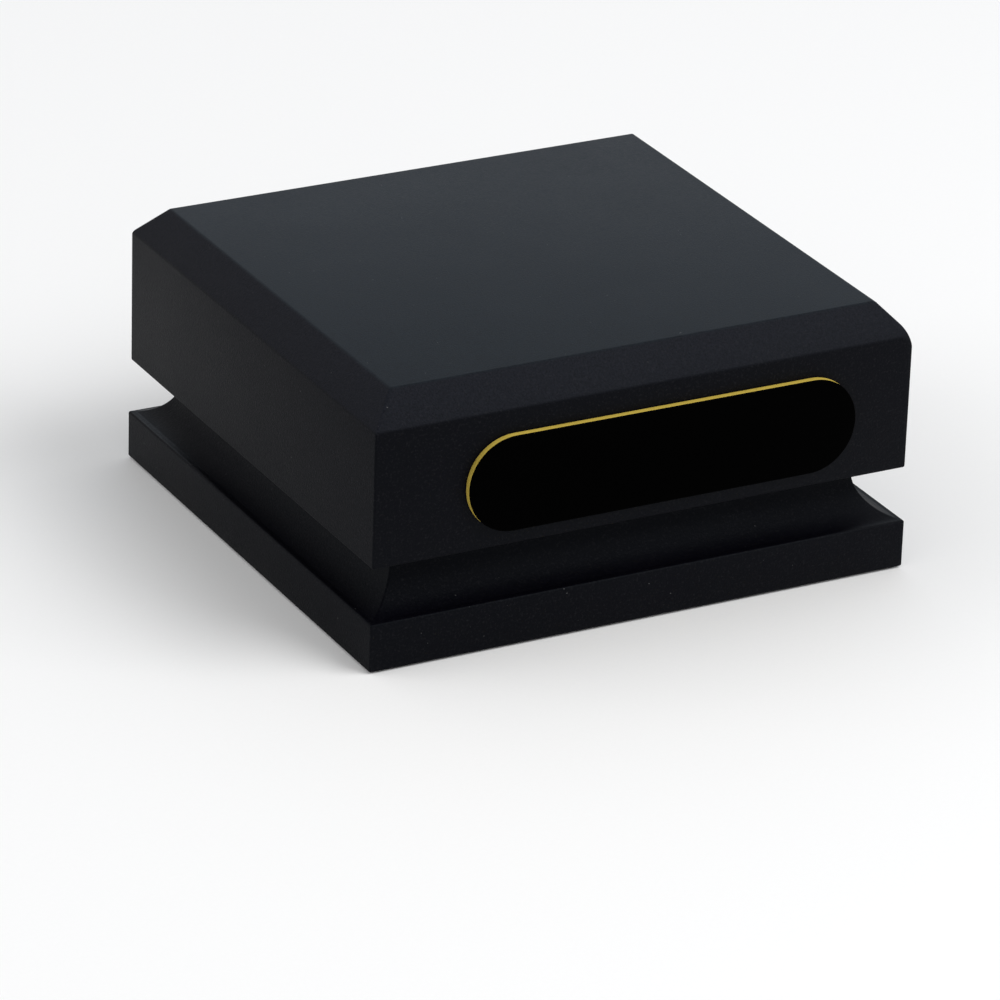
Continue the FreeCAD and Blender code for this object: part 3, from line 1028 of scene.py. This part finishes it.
half_x, half_y = frame_high.x, frame_high.y
die_frame = new_slab("die_bezel", half_x, half_y, frame_low.z, tray_bottom, tray_corner)
pick_faces(die_frame, looks_up)
bpy.ops.mesh.inset(thickness=step_in)
extrude(frame_high.z - tray_bottom)
bpy.ops.mesh.inset(thickness=felt_high.x - opening)
pick_faces(die_frame, looks_down)
bpy.ops.mesh.inset(thickness=frame_high.x - opening)
object_mode()
tunnel(die_frame)
ease_edges(die_frame, frame_ease)
finish_piece(die_frame, "cartridge", "black_abs", "die_frame")

# %% [markdown]
# ## A small language for materials
# A material is a net of nodes. In the window one drags wires between them. Here a class called Wire
# wraps a node's output, so wires can be added, subtracted and multiplied as plain numbers are, and
# each sum makes the Math node it needs. A Recipe makes every other kind of node from its type, its
# settings and what is fed to its sockets. All patterns read Object coordinates, which are metres on
# the piece itself, so a pattern's size can be given in millimetres and it rides along when the piece
# moves.

# %% Wires and recipes
class Wire:
    """One output of a node, which can be used in sums."""

    def __init__(self, recipe, socket):
        self.recipe = recipe
        self.socket = socket

    def maths(self, operation, first, second):
        return self.recipe.node("ShaderNodeMath", {"operation": operation}, {0: first, 1: second})

    def __add__(self, other):
        return self.maths("ADD", self, other)

    def __radd__(self, other):
        return self.maths("ADD", other, self)

    def __sub__(self, other):
        return self.maths("SUBTRACT", self, other)

    def __rsub__(self, other):
        return self.maths("SUBTRACT", other, self)

    def __mul__(self, other):
        return self.maths("MULTIPLY", self, other)

    def __rmul__(self, other):
        return self.maths("MULTIPLY", other, self)

    def ramp(self, start, end):
        """Goes from 0 to 1 as the wire goes from start to end, and stays there beyond them."""
        inputs = {"Value": self, "From Min": start, "From Max": end}
        return self.recipe.node("ShaderNodeMapRange", {"clamp": True}, inputs)


class Recipe:
    """One material in the making."""

    def __init__(self, name):
        self.material = bpy.data.materials.new(name)
        self.material.use_nodes = True
        self.tree = self.material.node_tree
        self.surface = self.tree.nodes["Principled BSDF"]

    def feed(self, socket, value):
        if isinstance(value, Wire):
            self.tree.links.new(value.socket, socket)
        else:
            socket.default_value = value

    def node(self, kind, settings=None, inputs=None, output=0):
        made = self.tree.nodes.new(kind)
        for name, value in (settings or {}).items():
            setattr(made, name, value)
        for name, value in (inputs or {}).items():
            self.feed(made.inputs[name], value)
        return Wire(self, made.outputs[output])

    def place(self, stretch=(1, 1, 1)):
        """Object coordinates. A stretch above 1 draws the pattern out along that axis."""
        coordinates = self.node("ShaderNodeTexCoord", output="Object")
        if stretch == (1, 1, 1):
            return coordinates
        shrink = tuple(1 / share for share in stretch)
        return self.node("ShaderNodeVectorMath", {"operation": "MULTIPLY"}, {0: coordinates, 1: shrink})

    def noise(self, size, detail=3.0, stretch=(1, 1, 1), roughness=0.5):
        """Cloudy values from 0 to 1 whose blobs are about one size across."""
        inputs = {"Vector": self.place(stretch), "Scale": 1 / size}
        inputs.update({"Detail": detail, "Roughness": roughness})
        return self.node("ShaderNodeTexNoise", {"normalize": True}, inputs)

    def cells(self, size):
        """The distance to the nearest of many scattered points, in parts of a cell."""
        return self.node("ShaderNodeTexVoronoi", {}, {"Vector": self.place(), "Scale": 1 / size})

    def mix(self, low, high, factor):
        """A colour between two, by a factor from 0 to 1."""
        return self.node("ShaderNodeMix", {"data_type": "RGBA"}, {0: factor, 6: low, 7: high}, output=2)

    def upwards(self, start, end):
        """0 on upright faces and 1 on faces that look up, between two heights of the normal."""
        normal = self.node("ShaderNodeNewGeometry", output="Normal")
        split = self.node("ShaderNodeSeparateXYZ", {}, {0: normal}, output=2)
        return split.ramp(start, end)

    def bump(self, height, strength=1.0):
        """Presses a height in metres into the surface."""
        inputs = {"Height": height, "Strength": strength, "Distance": 1.0}
        self.feed(self.surface.inputs["Normal"], self.node("ShaderNodeBump", {}, inputs))

    def finish(self, **inputs):
        for name, value in inputs.items():
            self.feed(self.surface.inputs[name.replace("_", " ")], value)
        return self.material


def grey(level, blue=0.0):
    return (level * (1 - blue), level, level * (1 + blue), 1)


materials = {}
print("materials can be written as recipes")

# %% [markdown]
# ## Black paint over wood
# The paint is matt and nearly black. A dark surface shows mostly what it reflects, so the share it
# reflects matters more than its colour. A low specular level keeps faces that are seen squarely very
# dark, while the top, seen at a low angle, still picks up a soft grey sheen. The paint was rubbed
# smoother on top. The top and chamfers of the handle also carry a painted bluish-grey sheen in their
# colour, which fades out towards the base so that the cove and flange stay dark as if in shade. On the
# sides the fine grain of the wood and the speckle of dried spray show, and dust has settled here and
# there.

# %% Painted wood
paint_dark, paint_light = (0.0003, 0.0003, 0.0010, 1), (0.0016, 0.0013, 0.0032, 1)
# painted sheen: lighter bluish-grey colours that stand in for light reflected by the chamfers and the top
chamfer_painted_sheen, top_painted_sheen = (0.0110, 0.0114, 0.0165, 1), (0.0085, 0.0116, 0.0155, 1)
speckle_shade, dust_shade = (0.022, 0.021, 0.024, 1), grey(0.25)
sheen_tint = (0.80, 0.92, 1.0, 1)


def painted_wood():
    recipe = Recipe("painted wood")
    top = recipe.upwards(0.75, 0.98)
    sides = 1 - top
    height_up = recipe.node("ShaderNodeSeparateXYZ", {}, {0: recipe.place()}, output=2)
    # painted sheen mask: 0 on upright faces and on the base, rising to 1 on the handle's top and chamfers
    painted_sheen_mask = recipe.upwards(0.30, 0.90) * height_up.ramp(base_high.z, shoulder_z)
    grain = recipe.noise(0.5 * millimetre, 4, stretch=(24, 1, 1))
    spray = recipe.noise(0.26 * millimetre, 3, roughness=0.65)
    coarse = recipe.noise(0.55 * millimetre, 3, roughness=0.6)
    mottle = spray.ramp(0.32, 0.68) * sides + coarse.ramp(0.22, 0.78) * top
    cloud = recipe.noise(11 * millimetre, 2)
    speckle = recipe.noise(0.35 * millimetre, 2, roughness=0.7).ramp(0.54, 0.72)
    dust = recipe.noise(0.5 * millimetre, 1).ramp(0.81, 0.84)
    shade = recipe.mix(paint_dark, paint_light, spray * 0.6 + cloud * 0.4)
    # the painted sheen is bluish on the top and greyer on the chamfers, and is mixed into the paint's
    # colour below
    painted_sheen = recipe.mix(chamfer_painted_sheen, top_painted_sheen, top)
    shade = recipe.mix(shade, painted_sheen, painted_sheen_mask * (0.30 + mottle))
    shade = recipe.mix(shade, speckle_shade, speckle * (0.20 * sides + 0.10))
    shade = recipe.mix(shade, dust_shade, dust * 0.4)
    uneven = 0.05 * (cloud - 0.5) + 0.16 * (spray - 0.5) + 0.20 * top * (coarse - 0.5)
    height = (grain * (0.002 + 0.010 * sides) + spray * (0.026 + 0.030 * sides)) * millimetre
    recipe.bump(height)
    return recipe.finish(
        Base_Color=shade,
        Roughness=0.56 - 0.14 * top + uneven,
        Specular_IOR_Level=0.078,
        Specular_Tint=sheen_tint,
    )


materials["painted_wood"] = painted_wood()
print("made", materials["painted_wood"].name)

# %% [markdown]
# ## The plate's lacquer and brass
# The plate's face is stoved black lacquer and its cut edge is bare brass. One material could switch
# between them by the way a face looks. Two materials in two slots are easier to change later, and the
# brass goes to the side faces by the same picking as in modelling. The sawn edge is dull, so part of
# it scatters light.

# %% Lacquer and brass
def lacquer():
    recipe = Recipe("black lacquer")
    ripple = recipe.noise(3 * millimetre, 2)
    shade = recipe.mix(grey(0.0001), grey(0.0003), recipe.noise(0.6 * millimetre, 3))
    recipe.bump(ripple * 0.006 * millimetre, strength=0.5)
    return recipe.finish(Base_Color=shade, Roughness=0.14 + 0.06 * ripple, Specular_IOR_Level=0.006)


def metal(name, dark, bright, rough, streak=(1, 1, 1), size=0.3, depth=0.002, metallic=1.0):
    """Bare metal whose tool marks are drawn out along one axis."""
    recipe = Recipe(name)
    marks = recipe.noise(size * millimetre, 4, stretch=streak)
    stain = recipe.noise(12 * size * millimetre, 3)
    shade = recipe.mix(dark, bright, 0.6 * marks + 0.4 * stain)
    recipe.bump(marks * depth * millimetre)
    return recipe.finish(Base_Color=shade, Roughness=rough + 0.18 * (marks - 0.5), Metallic=metallic)


brass = (0.52, 0.34, 0.09, 1), (0.80, 0.58, 0.22, 1)
sawn = (0.66, 0.48, 0.07, 1), (0.88, 0.66, 0.12, 1)
steel = (0.32, 0.32, 0.33, 1), (0.62, 0.61, 0.60, 1)
blackened = grey(0.022, 0.05), grey(0.06)
zinc = (0.40, 0.36, 0.20, 1), (0.66, 0.60, 0.38, 1)
materials["plate"] = lacquer()
materials["brass"] = metal("brass", *brass, 0.30, streak=(1, 1, 5))
cut_brass = metal("cut brass", *sawn, 0.55, streak=(1, 5, 1), size=0.15, metallic=0.35)
materials["bright_steel"] = metal("drawn steel", *steel, 0.26, streak=(1, 1, 8), size=0.12)
materials["dark_steel"] = metal("blackened steel", *blackened, 0.42, size=0.2, depth=0.004)
materials["zinc_steel"] = metal("yellow zinc", *zinc, 0.33, size=0.5)
print("made", len(materials), "materials so far")

# %% [markdown]
# ## Plastics, rubber, felt and foam
# The moulded parts are black plastic with a fine spark-eroded texture. Rubber is duller and picks up
# lint. The felt is ink-soaked fibre, so it is blue-black, matt and crossed by fine hairs. The foam is
# a dark grey skin full of tiny pores. Each gets its pattern at the size the real surface has.

# %% Plastics, rubber, felt and foam
def moulded(name, low, high, rough, grit, depth, specular=0.35):
    """A moulded surface with an even grit, a slow change of shade and a little wear."""
    recipe = Recipe(name)
    texture = recipe.noise(grit * millimetre, 3)
    flow = recipe.noise(14 * millimetre, 2)
    wear = recipe.noise(1.6 * millimetre, 4).ramp(0.62, 0.80)
    shade = recipe.mix(low, high, 0.5 * texture + 0.3 * flow + 0.4 * wear)
    recipe.bump(texture * depth * millimetre)
    uneven = 0.14 * (flow - 0.5) + 0.1 * wear
    return recipe.finish(Base_Color=shade, Roughness=rough + uneven, Specular_IOR_Level=specular)


inked = (0.004, 0.005, 0.012, 1), (0.030, 0.034, 0.060, 1)
foam = (0.010, 0.010, 0.014, 1), (0.060, 0.060, 0.066, 1)
bone = (0.52, 0.50, 0.45, 1), (0.68, 0.66, 0.60, 1)


def fibres():
    recipe = Recipe("inked felt")
    across = recipe.noise(0.10 * millimetre, 4, stretch=(14, 1, 1))
    along = recipe.noise(0.10 * millimetre, 4, stretch=(1, 14, 1))
    soak = recipe.noise(9 * millimetre, 3).ramp(0.3, 0.7)
    hair = (across * along).ramp(0.15, 0.42)
    shade = recipe.mix(*inked, 0.8 * hair + 0.2 * soak)
    recipe.bump((across + along) * 0.05 * millimetre)
    return recipe.finish(Base_Color=shade, Roughness=0.92 - 0.25 * soak, Specular_IOR_Level=0.3)


def pores():
    recipe = Recipe("die foam")
    pore = recipe.cells(0.22 * millimetre).ramp(0.12, 0.45)
    skin = recipe.noise(4 * millimetre, 3)
    shade = recipe.mix(*foam, 0.7 * pore + 0.3 * skin)
    recipe.bump(pore * 0.03 * millimetre)
    return recipe.finish(Base_Color=shade, Roughness=0.72 - 0.15 * skin, Specular_IOR_Level=0.3)


materials["black_abs"] = moulded("black plastic", grey(0.006), grey(0.020), 0.46, grit=0.16, depth=0.006)
materials["soft_rubber"] = moulded(
    "rubber", grey(0.010), grey(0.028), 0.74, grit=0.3, depth=0.008, specular=0.25
)
materials["tape"] = moulded(
    "foam tape", grey(0.020), grey(0.050), 0.85, grit=0.2, depth=0.02, specular=0.2
)
materials["acetal"] = moulded("acetal", *bone, 0.34, grit=0.2, depth=0.002)
materials["felt"] = fibres()
materials["die_foam"] = pores()
print("made", len(materials), "materials")

# %% Putting the materials on
def coat(piece, material):
    piece.data.materials.clear()
    piece.data.materials.append(material)


for piece, slot in finished:
    coat(piece, materials[slot])

plate.data.materials.append(cut_brass)
pick_faces(plate, lambda middle, normal: abs(normal.y) < 0.1)
plate.active_material_index = 1
bpy.ops.object.material_slot_assign()
object_mode()
gold = sum(1 for face in plate.data.polygons if face.material_index == 1)
print(len(finished), "pieces are coated, and the plate has", gold, "brass faces")

# %% [markdown]
# ## The floor and the light
# The stamp stands on a sheet of white paper under an even white light, as small goods are often
# pictured. A white world alone would light every side alike. A broad panel overhead at the front
# right lifts the front chamfer and fills the shadow there. A second, bluish one low behind the stamp
# is what the top mirrors, and a third at the left keeps that shadow light. The standard view
# transform keeps the paper white and the black deep.

# %% The floor and the light
activate(None)
bpy.ops.mesh.primitive_plane_add(size=8, location=(0, 0, 0))
floor = rename(bpy.context.object, "floor")
paper = Recipe("white paper")
fibre = paper.noise(0.6 * millimetre, 3)
paper.bump(fibre * 0.004 * millimetre)
white = paper.mix(grey(0.92), grey(0.94), fibre)
coat(floor, paper.finish(Base_Color=white, Roughness=0.95, Specular_IOR_Level=0.2))

world = bpy.data.worlds.new("studio")
bpy.context.scene.world = world
world.use_nodes = True
background = world.node_tree.nodes["Background"]
background.inputs["Color"].default_value = (1, 1, 1, 1)
background.inputs["Strength"].default_value = 0.60


def panel(name, towards, distance, size, radiance, color=(1, 1, 1)):
    """A square light panel that looks at the stamp from a direction."""
    way = Vector(towards).normalized()
    aim = (-way).to_track_quat("-Z", "Y").to_euler()
    bpy.ops.object.light_add(type="AREA", location=way * distance, rotation=aim)
    lamp = rename(bpy.context.object, name)
    lamp.data.size = size
    lamp.data.color = color
    lamp.data.energy = radiance * math.pi * size * size


panel("overhead panel", (0.43, -0.50, 0.70), 1.2, 0.8, 4.0)
panel("back panel", (0.43, 0.80, 0.45), 1.6, 1.2, 0.3, color=(0.50, 0.72, 1.0))
panel("left panel", (-0.80, 0.30, 0.50), 1.2, 0.8, 1.4)
bpy.context.scene.view_settings.view_transform = "Standard"
print("the scene is lit by a white world and three panels")
